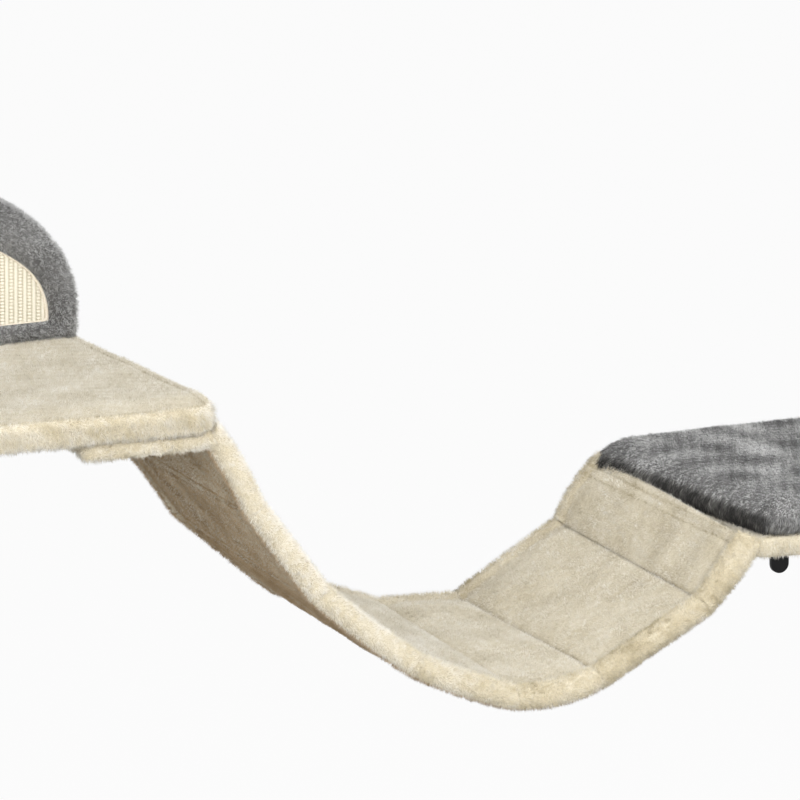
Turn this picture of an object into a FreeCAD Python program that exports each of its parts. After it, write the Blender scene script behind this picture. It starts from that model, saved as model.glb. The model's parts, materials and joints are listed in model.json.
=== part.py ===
import FreeCAD
import Part
import Sketcher
import math
import os

# Wall mounted cat tree: two plush platforms joined by a sagging padded bridge.
# Millimetres. X runs along the wall to the right, Y into the wall, Z up.
# The wall is the plane Y = 0. The origin is the middle of the left platform's four wall holes.

Vector = FreeCAD.Vector

SIZES = {
    # Both platforms: a plywood board inside a padded plush cover
    "platform_width": 308,
    "platform_depth": 350,
    "platform_corner": 27,
    "platform_edge": 8,
    "platform_board_thickness": 12,
    "left_skin": 7.5,
    "right_skin": 5,
    # Flat steel brackets under the platforms
    "bracket_width": 20,
    "bracket_thickness": 4,
    "bracket_bend": 6,
    "bracket_leg": 105,
    "bracket_arm": 250,
    "bracket_pitch": 96,
    "wall_hole_radius": 2.75,
    "wall_hole_drop": 25,
    "wall_hole_pitch": 50,
    "bracket_screw_first": 45,
    "bracket_screw_pitch": 85,
    "bracket_screw_bite": 17,
    "screw_radius": 2,
    "screw_head_radius": 4,
    "screw_head_height": 2.5,
    # Arched backrest on the left platform
    "backrest_half_width": 150,
    "backrest_straight": 26,
    "backrest_rise": 130,
    "backrest_side_radius": 108,
    "backrest_depth": 35,
    "backrest_skin": 7,
    "backrest_rear_skin": 3,
    "backrest_board_thickness": 15,
    "backrest_edge": 12,
    "opening_half_width": 124,
    "opening_base": 21,
    "opening_straight": 4,
    "opening_rise": 90,
    "opening_side_radius": 70,
    "opening_edge": 6,
    "opening_skin": 6,
    "mat_backing_thickness": 6,
    "mat_thickness": 4.5,
    "backrest_screw_offset": 95,
    "backrest_screw_bite": 22,
    # Padded bridge: seven boards sewn into one cover, length and slope of each.
    # A seam's rise is how much higher its wall end lies than its front end: the front sags more.
    "panel_1_length": 96,
    "panel_1_slope": -60,
    "panel_2_length": 114,
    "panel_2_slope": -51.5,
    "panel_3_length": 138,
    "panel_3_slope": -38,
    "panel_4_length": 116,
    "panel_4_slope": -18.5,
    "panel_5_length": 94,
    "panel_5_slope": 3.7,
    "panel_6_length": 133,
    "panel_6_slope": 27.7,
    "panel_7_length": 72,
    "panel_7_slope": 50,
    "seam_0_rise": 0,
    "seam_1_rise": 12,
    "seam_2_rise": 15,
    "seam_3_rise": 15,
    "seam_4_rise": 10,
    "seam_5_rise": 4,
    "seam_6_rise": 0,
    "seam_7_rise": 0,
    "bridge_side_gap": 5,
    "panel_half_thickness": 12,
    "panel_shoulder": 16,
    "panel_crown_share": 0.14,
    "panel_bulge_share": 0.66,
    "panel_bulge_place": 0.26,
    "panel_edge_draw": 0.8,
    "panel_board_thickness": 5,
    "panel_board_end_margin": 14,
    "panel_board_side_margin": 30,
    "seam_half_thickness": 2.4,
    "seam_setback": 1.5,
    "seam_bead_radius": 2.5,
    "seam_clearance": 0.3,
    "open_seam_clearance": 0.6,
    # Flaps that hold the bridge: one under the left platform, one under the right pad
    "left_flap_screw_gap": 2,
    "left_flap_thickness": 13,
    "left_flap_board_thickness": 3,
    "left_flap_overhang": 1,
    "left_flap_taper": 14,
    "left_flap_setback": 2.4,
    "right_flap_length": 95,
    "right_flap_thickness": 5,
    "right_flap_board_thickness": 2,
    "right_flap_gap": 4,
    "flap_side_margin": 12,
    "flap_screw_inset": 22,
    "flap_screw_pitch_depth": 190,
    "left_flap_screw_bite": 10,
    "right_flap_screw_bite": 10,
    "right_flap_screw_head_height": 1.4,
    # Thick pad on the right platform
    "pad_height": 35,
    "pad_corner": 46,
    "pad_overhang": 5,
    "pad_wall_gap": 2,
    "pad_skin": 4,
}
PANELS = range(1, 8)
PANELS_FROM_LEFT = 4


class Size:
    """A size: the expression that a feature is bound to, and its value for plain geometry."""

    def __init__(self, text, value):
        self.text = text
        self.value = float(value)

    def joined(self, sign, other, value):
        return Size("(%s %s %s)" % (self.text, sign, other.text), value)

    def __add__(self, other):
        other = as_size(other)
        return self.joined("+", other, self.value + other.value)

    def __sub__(self, other):
        other = as_size(other)
        return self.joined("-", other, self.value - other.value)

    def __mul__(self, other):
        other = as_size(other)
        return self.joined("*", other, self.value * other.value)

    def __truediv__(self, other):
        other = as_size(other)
        return self.joined("/", other, self.value / other.value)

    def __radd__(self, other):
        return as_size(other) + self

    def __rsub__(self, other):
        return as_size(other) - self

    def __rmul__(self, other):
        return as_size(other) * self

    def __neg__(self):
        return as_size(0) - self

    def __float__(self):
        return self.value


def as_size(number):
    return number if isinstance(number, Size) else Size(repr(float(number)), number)


def cosine(angle):
    return Size("cos(%s)" % angle.text, math.cos(math.radians(angle.value)))


def sine(angle):
    return Size("sin(%s)" % angle.text, math.sin(math.radians(angle.value)))


# The document and its sheet of driving sizes
doc = FreeCAD.newDocument("CatTree")
sheet = doc.addObject("Spreadsheet::Sheet", "Sizes")
for row, (alias, number) in enumerate(SIZES.items(), start=1):
    sheet.set("A%d" % row, alias)
    sheet.set("B%d" % row, str(number))
    sheet.setAlias("B%d" % row, alias)
doc.recompute()
pieces = []


def size(alias):
    return Size("Sizes." + alias, sheet.get(alias))


def bind(feature, **sizes):
    for name, value in sizes.items():
        feature.setExpression(name, as_size(value).text)


def put(feature, x=0, y=0, z=0):
    """Places a feature at a point whose coordinates are sizes."""
    x, y, z = as_size(x), as_size(y), as_size(z)
    feature.Placement.Base = Vector(x.value, y.value, z.value)
    for axis, value in (("x", x), ("y", y), ("z", z)):
        feature.setExpression("Placement.Base." + axis, value.text)
    return feature


def piece(feature, label):
    """Names a finished piece, which is then written to its own file."""
    feature.Label = label
    pieces.append(feature)
    return feature


# ---- Sketches ----

def new_sketch(body, plane):
    sketch = body.newObject("Sketcher::SketchObject", "Outline")
    origin = [f for f in body.Origin.OriginFeatures if f.Role == plane][0]
    sketch.AttachmentSupport = [(origin, "")]
    sketch.MapMode = "FlatFace"
    return sketch


def pin(sketch, edge, end, x, y):
    """Holds one end of an edge at a point given by two sizes."""
    for kind, value in (("DistanceX", as_size(x)), ("DistanceY", as_size(y))):
        number = sketch.addConstraint(Sketcher.Constraint(kind, -1, 1, edge, end, value.value))
        sketch.setExpression("Constraints[%d]" % number, value.text)


def flat(point):
    return Vector(as_size(point[0]).value, as_size(point[1]).value, 0)


def closed_outline(sketch, corners):
    """Draws straight edges between corners, each corner pinned by its two sizes."""
    first = sketch.GeometryCount
    count = len(corners)
    for i in range(count):
        sketch.addGeometry(Part.LineSegment(flat(corners[i]), flat(corners[(i + 1) % count])))
    for i in range(count):
        pin(sketch, first + i, 1, *corners[i])
        joined = Sketcher.Constraint("Coincident", first + i, 2, first + (i + 1) % count, 1)
        sketch.addConstraint(joined)


def arch_outline(sketch, half_width, base, straight, rise, side_radius):
    """Draws an arch on a flat base: two straight sides, two side arcs and a wider top arc."""
    a, low, s, b, r = (as_size(v) for v in (half_width, base, straight, rise, side_radius))
    spring = low + s
    drop = ((a - r) * (a - r) - (b - r) * (b - r)) / (2 * (b - r))
    top_radius = b + drop
    lean = math.atan2(drop.value, (a - r).value)
    right_centre = flat((a - r, spring))
    left_centre = flat((r - a, spring))
    top_centre = flat((0, spring - drop))
    up = Vector(0, 0, 1)
    first = sketch.GeometryCount
    lines = (((-a, low), (a, low)), ((a, low), (a, spring)))
    for start, end in lines:
        sketch.addGeometry(Part.LineSegment(flat(start), flat(end)))
    arcs = (
        (right_centre, r, 0, lean),
        (top_centre, top_radius, lean, math.pi - lean),
        (left_centre, r, math.pi - lean, math.pi),
    )
    for centre, radius, start, end in arcs:
        circle = Part.Circle(centre, up, radius.value)
        sketch.addGeometry(Part.ArcOfCircle(circle, start, end))
    sketch.addGeometry(Part.LineSegment(flat((-a, spring)), flat((-a, low))))
    base_line, right_line, right_arc, top_arc, left_arc, left_line = range(first, first + 6)
    joins = (
        ("Coincident", base_line, 2, right_line, 1),
        ("Coincident", right_line, 2, right_arc, 1),
        ("Coincident", left_arc, 2, left_line, 1),
        ("Coincident", left_line, 2, base_line, 1),
        ("Tangent", right_arc, 2, top_arc, 1),
        ("Tangent", top_arc, 2, left_arc, 1),
    )
    for join in joins:
        sketch.addConstraint(Sketcher.Constraint(*join))
    pin(sketch, base_line, 1, -a, low)
    pin(sketch, base_line, 2, a, low)
    pin(sketch, right_arc, 1, a, spring)
    pin(sketch, right_arc, 3, a - r, spring)
    pin(sketch, left_arc, 2, -a, spring)
    pin(sketch, left_arc, 3, r - a, spring)


def new_pad(body, sketch, length):
    pad = body.newObject("PartDesign::Pad", "Pad")
    pad.Profile = sketch
    bind(pad, Length=length)
    doc.recompute()
    return pad


def rounded(body, feature, radius, wanted):
    """Rounds the edges of a feature that the test picks, by their two end points."""
    names = []
    for i, edge in enumerate(feature.Shape.Edges, start=1):
        ends = [vertex.Point for vertex in edge.Vertexes]
        if wanted(ends[0], ends[-1]):
            names.append("Edge%d" % i)
    fillet = body.newObject("PartDesign::Fillet", "Round")
    fillet.Base = (feature, names)
    bind(fillet, Radius=radius)
    doc.recompute()
    return fillet


def near(value, target):
    return abs(value - float(target)) < 1e-4


def new_body(name):
    return doc.addObject("PartDesign::Body", name)


def slab(name, width, depth, thickness, corner):
    """A board against the wall, its front corners rounded. Its underside is at Z = 0."""
    body = new_body(name)
    half = width / 2
    sketch = new_sketch(body, "XY_Plane")
    closed_outline(sketch, ((-half, -depth), (half, -depth), (half, 0), (-half, 0)))
    pad = new_pad(body, sketch, thickness)

    def front_corner(start, end):
        upright = near(start.x, end.x) and near(start.y, end.y)
        return upright and near(start.y, -depth)

    rounded(body, pad, corner, front_corner)
    return body


def soft_slab(name, width, depth, thickness, corner, edge_radius):
    """A padded board: as a slab, with its top and bottom edges rounded except at the wall."""
    body = slab(name, width, depth, thickness, corner)

    def rim(start, end):
        level = near(start.z, end.z)
        return level and not (near(start.y, 0) and near(end.y, 0))

    rounded(body, body.Tip, edge_radius, rim)
    return body


def arch_slab(name, thickness, outer, inner=None, rear=0):
    """An arch, whole or with an arched opening, that reaches forward from a depth behind."""
    body = new_body(name)
    sketch = new_sketch(body, "XZ_Plane")
    arch_outline(sketch, *outer)
    if inner:
        arch_outline(sketch, *inner)
    new_pad(body, sketch, thickness)
    put(body, y=-as_size(rear))
    return body


# ---- Joining and cutting ----

def cut(base, *tools):
    for tool in tools:
        result = doc.addObject("Part::Cut", "Cut")
        result.Base = base
        result.Tool = tool
        base = result
    doc.recompute()
    return base


def fused(*features):
    result = doc.addObject("Part::MultiFuse", "Fuse")
    result.Shapes = list(features)
    doc.recompute()
    return result


def group(features):
    result = doc.addObject("Part::Compound", "Group")
    result.Links = list(features)
    doc.recompute()
    return result


def cylinder(radius, height, x, y, z, turn=None):
    rod = doc.addObject("Part::Cylinder", "Cylinder")
    bind(rod, Radius=radius, Height=height)
    if turn:
        rod.Placement.Rotation = turn
    return put(rod, x, y, z)


ALONG_DEPTH = FreeCAD.Rotation(Vector(1, 0, 0), 90)


def screw(x, y, head_z, length, upward, head_height):
    """A pan head wood screw: a disc head at head_z, and a shank that goes up or down from it."""
    head_radius, shank_radius = size("screw_head_radius"), size("screw_radius")
    if upward:
        head = cylinder(head_radius, head_height, x, y, head_z - head_height)
        shank = cylinder(shank_radius, length, x, y, head_z)
    else:
        head = cylinder(head_radius, head_height, x, y, head_z)
        shank = cylinder(shank_radius, length, x, y, head_z - length)
    return fused(head, shank)


def placed(name, shape, place):
    """A feature for a form that is lofted directly; it gets its shape and then its place."""
    feature = doc.addObject("Part::Feature", name)
    feature.Shape = Part.makeCompound([shape]) if shape.ShapeType == "Solid" else shape
    feature.Placement = place
    return feature


# ---- Where things lie ----

centre_gap = size("wall_hole_drop") + size("wall_hole_pitch") / 2
left_under = centre_gap
left_top = left_under + size("platform_board_thickness") + 2 * size("left_skin")
left_edge_x = size("platform_width") / 2

hinge_points = [(
    left_edge_x + size("left_flap_overhang"),
    left_under - size("left_flap_thickness") / 2,
)]
for number in PANELS:
    before_x, before_z = hinge_points[-1]
    length = size("panel_%d_length" % number)
    slope = size("panel_%d_slope" % number)
    hinge_points.append((before_x + length * cosine(slope), before_z + length * sine(slope)))

last_x, last_z = hinge_points[-1]
right_top = last_z + size("right_flap_thickness") / 2
right_under = right_top - size("platform_board_thickness") - 2 * size("right_skin")
right_centre_x = last_x + size("right_flap_gap") + size("platform_width") / 2
bridge_width = size("platform_depth") - 2 * size("bridge_side_gap")
bridge_front = size("bridge_side_gap") - size("platform_depth")
bridge_middle = -size("platform_depth") / 2
board_thickness = size("platform_board_thickness")


# ---- Steel brackets and their screws ----

def bracket(x, under):
    """A flat bar bent to an L: a leg down the wall and an arm forward under the board."""
    body = new_body("Bracket")
    bar, bend = size("bracket_thickness"), size("bracket_bend")
    leg, arm, width = size("bracket_leg"), size("bracket_arm"), size("bracket_width")
    sketch = new_sketch(body, "YZ_Plane")
    corners = ((0, -leg), (0, 0), (-arm, 0), (-arm, -bar), (-bar, -bar), (-bar, -leg))
    closed_outline(sketch, corners)
    pad = new_pad(body, sketch, width)
    pad.SideType = "Symmetric"
    doc.recompute()

    def outer_bend(start, end):
        return all(near(point.y, 0) and near(point.z, 0) for point in (start, end))

    def inner_bend(start, end):
        return all(near(point.y, -bar) and near(point.z, -bar) for point in (start, end))

    def tip(start, end):
        at_leg = all(near(point.z, -leg) for point in (start, end))
        at_arm = all(near(point.y, -arm) for point in (start, end))
        return (at_leg or at_arm) and near(start.x, end.x)

    rounded(body, body.Tip, bend, outer_bend)
    rounded(body, body.Tip, bend - bar, inner_bend)
    rounded(body, body.Tip, width / 2 - 0.1, tip)
    put(body, x=x, z=under)
    holes = []
    for step in (0, 1):
        z = under - size("wall_hole_drop") - step * size("wall_hole_pitch")
        holes.append(cylinder(size("wall_hole_radius"), 3 * bar, x, bar, z, ALONG_DEPTH))
    return cut(body, *holes)


def bracket_screws(x, under):
    """The three screws that hold an arm up against the board."""
    screws = []
    for step in range(3):
        y = -(size("bracket_screw_first") + step * size("bracket_screw_pitch"))
        length = size("bracket_thickness") + size("bracket_screw_bite")
        head_z = under - size("bracket_thickness")
        screws.append(screw(x, y, head_z, length, True, size("screw_head_height")))
    return screws


def bracket_set(side, centre_x, under):
    """Two brackets and one group of screws for a platform."""
    half_pitch = size("bracket_pitch") / 2
    places = (centre_x - half_pitch, centre_x + half_pitch)
    screws = group([s for x in places for s in bracket_screws(x, under)])
    arms = []
    for number, x in enumerate(places, start=1):
        arm = cut(bracket(x, under), screws)
        arms.append(piece(arm, "%s_bracket_%d" % (side, number)))
    piece(screws, side + "_bracket_screws")
    return arms, screws


# ---- Platforms ----

def platform_board(centre_x, under, skin):
    board = slab(
        "Board",
        size("platform_width") - 2 * skin,
        size("platform_depth") - 2 * skin,
        board_thickness,
        size("platform_corner") - skin,
    )
    return put(board, x=centre_x, y=-skin, z=under + skin)


def platform_cover(centre_x, under, skin):
    cover = soft_slab(
        "Cover",
        size("platform_width"),
        size("platform_depth"),
        board_thickness + 2 * skin,
        size("platform_corner"),
        size("platform_edge"),
    )
    return put(cover, x=centre_x, z=under)


# ---- Backrest ----

def backrest_outline(inset):
    """The backrest's outline, drawn in at its sides and top and lifted at its foot."""
    inset = as_size(inset)
    return (
        size("backrest_half_width") - inset,
        left_top + inset,
        size("backrest_straight") - inset,
        size("backrest_rise") - inset,
        size("backrest_side_radius") - inset,
    )


def opening_outline(outset):
    """The opening's outline, let out on every side."""
    outset = as_size(outset)
    return (
        size("opening_half_width") + outset,
        left_top + size("opening_base") - outset,
        size("opening_straight") + outset,
        size("opening_rise") + outset,
        size("opening_side_radius") + outset,
    )


def backrest():
    rear, skin = size("backrest_rear_skin"), size("backrest_skin")
    board_depth = size("backrest_board_thickness")
    ring_rear = rear + board_depth
    ring_depth = size("backrest_depth") - ring_rear
    outline, opening = backrest_outline(0), opening_outline(0)

    board = arch_slab("BackrestBoard", board_depth, backrest_outline(skin), rear=rear)
    foam = arch_slab(
        "BackrestFoam",
        ring_depth - skin,
        backrest_outline(skin),
        opening_outline(size("opening_skin")),
        ring_rear,
    )
    back = arch_slab("BackrestBack", ring_rear, outline)
    ring = arch_slab("BackrestRing", ring_depth, outline, opening, ring_rear)
    opening_half = size("opening_half_width")
    opening_top = left_top + size("opening_base") + size("opening_straight") + size("opening_rise")
    opening_low = left_top + size("opening_base")

    def at_front(start, end):
        return near(start.y, -ring_depth) and near(end.y, -ring_depth)

    def in_opening(point):
        inside = abs(point.x) < opening_half.value + 1e-3
        return inside and opening_low.value - 1e-3 < point.z < opening_top.value + 1e-3

    def outer_rim(start, end):
        at_foot = near(start.z, left_top) and near(end.z, left_top)
        return at_front(start, end) and not in_opening(start) and not at_foot

    def inner_rim(start, end):
        return at_front(start, end) and in_opening(start) and in_opening(end)

    rounded(ring, ring.Tip, size("backrest_edge"), outer_rim)
    rounded(ring, ring.Tip, size("opening_edge"), inner_rim)
    backing = arch_slab("MatBacking", size("mat_backing_thickness"), opening, rear=ring_rear)
    mat_rear = ring_rear + size("mat_backing_thickness")
    mat = arch_slab("Mat", size("mat_thickness"), opening, rear=mat_rear)
    return board, foam, fused(back, ring), backing, mat


def backrest_screws():
    """Two long screws up through the platform board into the foot of the backrest board."""
    y = -(size("backrest_rear_skin") + size("backrest_board_thickness") / 2)
    head_z = left_under + size("left_skin")
    length = board_thickness + size("left_skin") + size("backrest_skin")
    length = length + size("backrest_screw_bite")
    offset = size("backrest_screw_offset")
    return group([
        screw(side * offset, y, head_z, length, True, size("screw_head_height"))
        for side in (-1, 1)
    ])


# ---- Padded bridge ----

def arc_through(*points):
    return Part.Arc(*points).toShape()


def panel_section(start, end, half):
    """A panel's outline at one place across its width: narrow at its seams, full between."""
    along = (end - start).normalize()
    across = Vector(-along.z, 0, along.x)
    length = (end - start).Length
    crown = size("panel_crown_share").value * half
    seam = min(size("seam_half_thickness").value, half - size("panel_edge_draw").value)
    first = size("seam_setback").value
    last = length - first
    run = size("panel_shoulder").value
    shoulder = half - crown
    bulge = seam + size("panel_bulge_share").value * (shoulder - seam)
    reach = size("panel_bulge_place").value * run

    def point(distance, height):
        return start + along * distance + across * height

    outline = (
        (first, seam), (first + reach, bulge), (first + run, shoulder),
        (length / 2, half),
        (last - run, shoulder), (last - reach, bulge), (last, seam),
    )
    top = [point(distance, height) for distance, height in outline]
    low = [point(distance, -height) for distance, height in outline]
    edges = [Part.LineSegment(low[0], top[0]).toShape()]
    edges += [arc_through(*top[i:i + 3]) for i in (0, 2, 4)]
    edges.append(Part.LineSegment(top[6], low[6]).toShape())
    edges += [arc_through(low[i + 2], low[i + 1], low[i]) for i in (4, 2, 0)]
    return Part.Wire(edges)


# Distance in from a panel's side edge, and the share of its thickness there:
# drawn in at the edge, a plump border roll, its sewn groove, then the padded middle.
BORDER = ((0, 0.34), (3, 0.74), (9, 0.97), (15, 0.99), (21, 0.84), (25, 0.76), (31, 0.85), (60, 0.96))


class Panel:
    """One panel of the bridge in its own frame: from its left seam along X, its middle at Y = 0."""

    def __init__(self, number):
        self.length = size("panel_%d_length" % number).value
        self.slope = math.radians(size("panel_%d_slope" % number).value)
        self.width = bridge_width.value
        self.rises = [size("seam_%d_rise" % seam).value for seam in (number - 1, number)]

    def seam_point(self, end, y):
        """Where a seam lies at a distance y from the middle: a seam that rises is skewed."""
        lift = self.rises[end] * y / self.width
        return Vector(end * self.length + lift * math.sin(self.slope), y, lift * math.cos(self.slope))

    def pillow(self):
        full, edge = size("panel_half_thickness").value, self.width / 2
        stations = [(inset - edge, share) for inset, share in BORDER]
        stations.append((0, 1.0))
        stations += [(edge - inset, share) for inset, share in reversed(BORDER)]
        sections = [
            panel_section(self.seam_point(0, y), self.seam_point(1, y), full * share)
            for y, share in stations
        ]
        return Part.makeLoft(sections, True, True)

    def seam_rod(self, end, radius, beyond=0):
        """A round bar along a seam, for its bead or for the longer groove round it."""
        front, rear = (self.seam_point(end, side * (self.width / 2 + beyond)) for side in (-1, 1))
        return Part.makeCylinder(radius, (rear - front).Length, front, rear - front)

    def board(self):
        """The stiff board: flat, and tilted to lie in the middle of its twisted cover."""
        side, margin = size("panel_board_side_margin").value, size("panel_board_end_margin").value
        thickness = size("panel_board_thickness").value
        corner = Vector(margin, side - self.width / 2, -thickness / 2)
        board = Part.makeBox(self.length - 2 * margin, self.width - 2 * side, thickness, corner)
        tilt = math.atan2(sum(self.rises) / 2 * math.cos(self.slope), self.width)
        board.rotate(Vector(), Vector(1, 0, 0), math.degrees(tilt))
        return board


def bridge_panel(number):
    """A board and its padded cover: a bead at the right seam, a groove round the left one."""
    panel = Panel(number)
    x, z = (v.value for v in hinge_points[number - 1])
    turn = FreeCAD.Rotation(Vector(0, 1, 0), -math.degrees(panel.slope))
    place = FreeCAD.Placement(Vector(x, bridge_middle.value, z), turn)
    bead = size("seam_bead_radius").value
    opened = number == PANELS_FROM_LEFT + 1
    clearance = size("open_seam_clearance" if opened else "seam_clearance").value
    board = panel.board()
    cover = panel.pillow().cut(board)
    cover = cover.cut(panel.seam_rod(0, bead + clearance, bead)).fuse(panel.seam_rod(1, bead))
    piece(placed("PanelBoard", board, place), "bridge_board_%d" % number)
    piece(placed("PanelCover", cover, place), "bridge_cover_%d" % number)


# ---- Flaps that hold the bridge ----

def left_flap():
    """The end of the bridge cover, laid flat under the left platform, with its stiff board."""
    body = new_body("LeftFlap")
    thickness, taper = size("left_flap_thickness"), size("left_flap_taper")
    seam, setback = size("seam_half_thickness"), size("left_flap_setback")
    end_x, middle = hinge_points[0]
    bar_edge = (size("bracket_pitch") - size("bracket_width")) / 2
    first_screw = bar_edge - size("left_flap_screw_gap") - size("screw_head_radius")
    start_x, tip_x = first_screw - size("flap_screw_inset"), end_x - setback
    low, high = middle - thickness / 2, middle + thickness / 2
    sketch = new_sketch(body, "XZ_Plane")
    corners = (
        (start_x, low), (end_x - taper, low), (tip_x, middle - seam),
        (tip_x, middle + seam), (end_x - taper, high), (start_x, high),
    )
    closed_outline(sketch, corners)
    new_pad(body, sketch, bridge_width)
    put(body, y=bridge_front + bridge_width)
    bead = cylinder(
        size("seam_bead_radius"), bridge_width,
        end_x, bridge_front + bridge_width, middle, ALONG_DEPTH,
    )
    margin = size("flap_side_margin")
    board = doc.addObject("Part::Box", "FlapBoard")
    bind(
        board,
        Length=end_x - start_x - margin - taper,
        Width=bridge_width - 2 * margin,
        Height=size("left_flap_board_thickness"),
    )
    board_low = low + size("screw_head_height")
    put(board, start_x + margin, bridge_front + margin, board_low)
    places = (first_screw, end_x - taper - size("flap_screw_inset"))
    through = high - board_low + size("left_skin")
    length_in = through + size("left_flap_screw_bite")
    screws = flap_screws(places, board_low, length_in, True, size("screw_head_height"))
    return fused(body, bead), board, screws


def flap_screws(places, head_z, length, upward, head_height):
    half = size("flap_screw_pitch_depth") / 2
    return group([
        screw(x, bridge_middle + side * half, head_z, length, upward, head_height)
        for x in places for side in (-1, 1)
    ])


def right_flap():
    """The other end of the cover, laid flat on the right platform under its pad."""
    start_x, middle = hinge_points[-1]
    thickness = size("right_flap_thickness")
    setback, margin = size("seam_setback"), size("flap_side_margin")
    flap = doc.addObject("Part::Box", "RightFlap")
    bind(
        flap,
        Length=size("right_flap_length") - setback,
        Width=bridge_width,
        Height=thickness,
    )
    put(flap, start_x + setback, bridge_front, middle - thickness / 2)
    groove = cylinder(
        size("seam_bead_radius") + size("seam_clearance"), bridge_width,
        start_x, bridge_front + bridge_width, middle, ALONG_DEPTH,
    )
    board = doc.addObject("Part::Box", "FlapStrip")
    strip = size("right_flap_board_thickness")
    bind(
        board,
        Length=size("right_flap_length") - 2 * margin,
        Width=bridge_width - 2 * margin,
        Height=strip,
    )
    put(board, start_x + margin, bridge_front + margin, middle - strip / 2)
    places = [start_x + size("right_flap_length") / 2]
    head_z = middle + strip / 2
    length = strip + (thickness - strip) / 2 + size("right_skin")
    length = length + size("right_flap_screw_bite")
    head = size("right_flap_screw_head_height")
    screws = flap_screws(places, head_z, length, False, head)
    return cut(flap, groove), board, screws, flap


# ---- Pad on the right platform ----

def rounded_rectangle(width, depth, corner, z):
    """A level outline about the origin, with four quarter round corners."""
    w, d, r = width / 2, depth / 2, corner
    k = r * (1 - math.sqrt(0.5))
    edges = []
    for sx, sy in ((1, 1), (-1, 1), (-1, -1), (1, -1)):
        side = Vector(sx * w, sy * (d - r), z)
        bend = Vector(sx * (w - k), sy * (d - k), z)
        end = Vector(sx * (w - r), sy * d, z)
        if sx != sy:
            side, end = end, side
        edges.append((side, bend, end))
    shapes = []
    for i, (start, bend, end) in enumerate(edges):
        shapes.append(arc_through(start, bend, end))
        following = edges[(i + 1) % 4][0]
        shapes.append(Part.LineSegment(end, following).toShape())
    return Part.Wire(shapes)


# Share of the pad's height, and how far its side is drawn in there, in shares of that height:
# tucked under at the foot, full at half height, then a round shoulder and a low crown.
PAD_SECTIONS = (
    (0.0, 0.16), (0.12, 0.05), (0.32, 0.0), (0.55, 0.02), (0.72, 0.10),
    (0.84, 0.26), (0.92, 0.55), (0.965, 1.1), (1.0, 2.9),
)


def pad_form(height, inset, base_z):
    """The pad as a loft of level outlines, drawn in all round by an inset."""
    width = size("platform_width").value + 2 * (size("pad_overhang").value - inset)
    depth = size("platform_depth").value - 2 * (size("pad_wall_gap").value + inset)
    corner = size("pad_corner").value - inset
    sections = []
    for level, share in PAD_SECTIONS:
        draw = share * height
        sections.append(rounded_rectangle(
            width - 2 * draw, depth - 2 * draw, corner - 0.25 * draw, base_z + level * height,
        ))
    return Part.makeLoft(sections, True, True)


def pad():
    height, skin = size("pad_height").value, size("pad_skin").value
    outside = pad_form(height, 0, 0)
    filling = pad_form(height - 2 * skin, skin, skin)
    middle = Vector(right_centre_x.value, bridge_middle.value, right_top.value)
    place = FreeCAD.Placement(middle, FreeCAD.Rotation())
    piece(placed("PadFoam", filling, place), "pad_foam")
    piece(placed("PadCover", outside.cut(filling), place), "pad_cover")


# ---- Assembly ----

def left_side():
    arms, arm_screws = bracket_set("left", as_size(0), left_under)
    flap, flap_board, fixings = left_flap()
    board = platform_board(as_size(0), left_under, size("left_skin"))
    rest_board, foam, rest_cover, backing, mat = backrest()
    rest_screws = backrest_screws()
    cover = platform_cover(as_size(0), left_under, size("left_skin"))
    piece(cut(board, arm_screws, fixings, rest_screws), "left_board")
    piece(cut(cover, board, arm_screws, fixings, rest_screws), "left_cover")
    piece(cut(flap, flap_board, fixings, arm_screws, *arms), "left_flap_cover")
    piece(cut(flap_board, fixings), "left_flap_board")
    piece(fixings, "left_flap_screws")
    piece(cut(rest_board, rest_screws), "backrest_board")
    piece(foam, "backrest_foam")
    piece(cut(rest_cover, rest_board, foam, rest_screws), "backrest_cover")
    piece(backing, "scratch_mat_backing")
    piece(mat, "scratch_mat")
    piece(rest_screws, "backrest_screws")


def right_side():
    arm_screws = bracket_set("right", right_centre_x, right_under)[1]
    flap, flap_board, fixings, flap_space = right_flap()
    board = platform_board(right_centre_x, right_under, size("right_skin"))
    cover = platform_cover(right_centre_x, right_under, size("right_skin"))
    piece(cut(board, arm_screws, fixings), "right_board")
    piece(cut(cover, board, flap_space, arm_screws, fixings), "right_cover")
    piece(cut(flap, flap_board, fixings), "right_flap_cover")
    piece(cut(flap_board, fixings), "right_flap_board")
    piece(fixings, "right_flap_screws")
    pad()


left_side()
for number in PANELS:
    bridge_panel(number)
right_side()
doc.recompute()

# Nothing is written unless every feature and every piece is sound
for feature in doc.Objects:
    if "Invalid" in feature.State or "Error" in feature.State:
        raise RuntimeError("%s (%s) did not build" % (feature.Name, feature.Label))
os.makedirs("parts", exist_ok=True)
for feature in pieces:
    shape = feature.Shape
    if shape.isNull() or not shape.isValid() or not shape.Solids:
        raise RuntimeError(feature.Label + " is not a sound solid")
for feature in pieces:
    shape = feature.Shape
    shape.exportStep(os.path.join("parts", feature.Label + ".step"))
    print("%-24s solids %2d  volume %9.1f cm3" % (feature.Label, len(shape.Solids), shape.Volume / 1000))
print("hinges:", [(round(x.value, 2), round(z.value, 2)) for x, z in hinge_points])
print("right platform: centre %.2f top %.2f underside %.2f" % (
    right_centre_x.value, right_top.value, right_under.value))
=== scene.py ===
# %% [markdown]
# # Wall mounted cat tree
# Two plush platforms hang on a wall. The left one carries an arched backrest with a
# scratching mat, the right one a thick pad, and a padded bridge sags between them.
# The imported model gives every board, screw, bracket and joint its place, and this
# lesson dresses them: soft skins, pile, stitches, and plain studio light.

# %% Load the frame
import json
import math

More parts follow.
